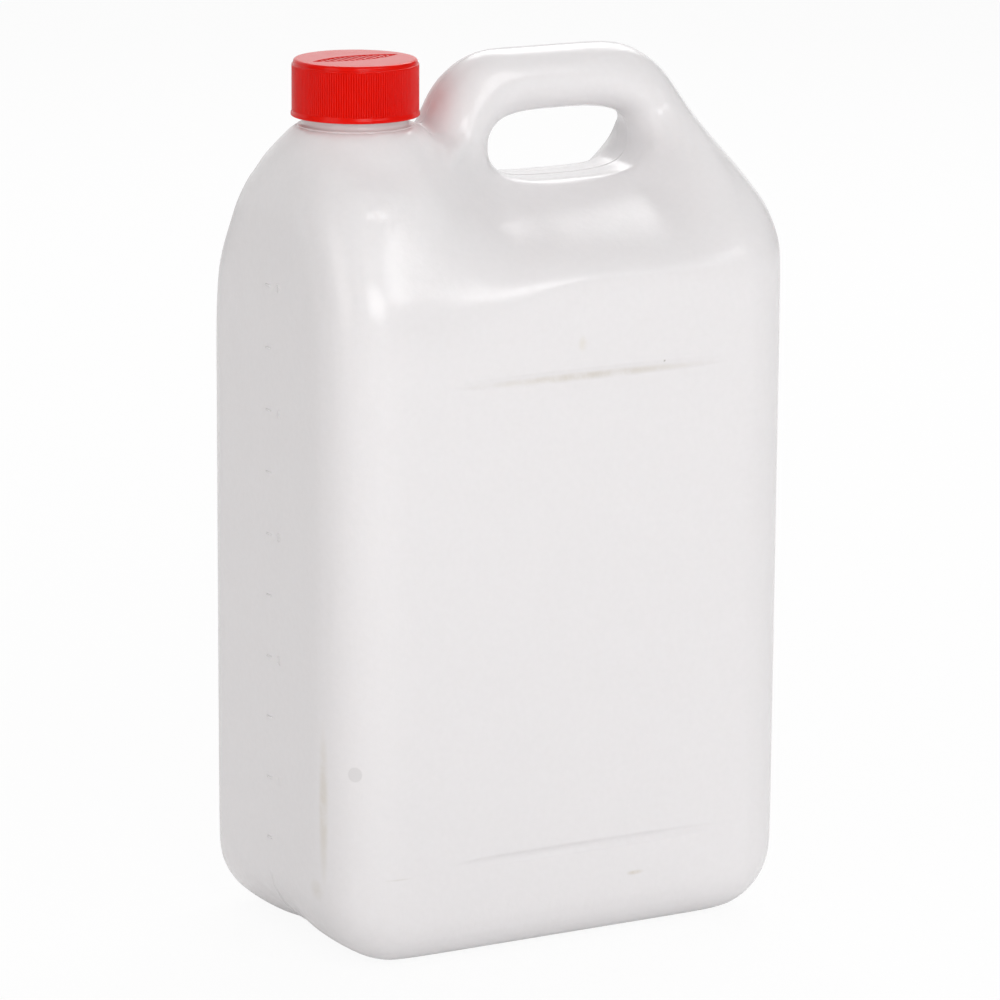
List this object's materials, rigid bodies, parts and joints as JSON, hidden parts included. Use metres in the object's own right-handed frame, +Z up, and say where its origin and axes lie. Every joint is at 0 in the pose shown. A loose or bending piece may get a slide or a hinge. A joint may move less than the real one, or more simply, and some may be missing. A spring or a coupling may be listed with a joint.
{
  "type": "plastic jerrycan",
  "caption": "Blown translucent plastic jerrycan with a hollow carrying handle and a ribbed screw cap on an offset neck.",
  "frame": {"origin": "centre of the can's box, on the surface that it stands on", "axes": "+Z up, +X along the can from the neck's side to the back of the handle, +Y through the can's depth, away from the pictured broad face"},
  "size_m": [0.1904, 0.12, 0.3255],
  "materials": {
    "hdpe_natural": "translucent satin",
    "cap_red": "satin",
    "wad_foam": "matte"
  },
  "bodies": {
    "can": {"can": "hdpe_natural"},
    "wad": {"sealing_wad": "wad_foam"},
    "cap": {"cap": "cap_red"}
  },
  "joints": [
    {"name": "cap_lift", "type": "slide", "parent": "can", "child": "wad", "axis": [0, 0, 1], "range_m": [0, 0.01875]},
    {"name": "cap_turn", "type": "hinge", "parent": "wad", "child": "cap", "pos_m": [-0.0595, 0, 0.3], "axis": [0, 0, 1], "range_deg": [0, 1350]}
  ],
  "couplings": [
    {"joint": "cap_lift", "follows": "cap_turn", "m_per_rad": 0.00079577}
  ]
}
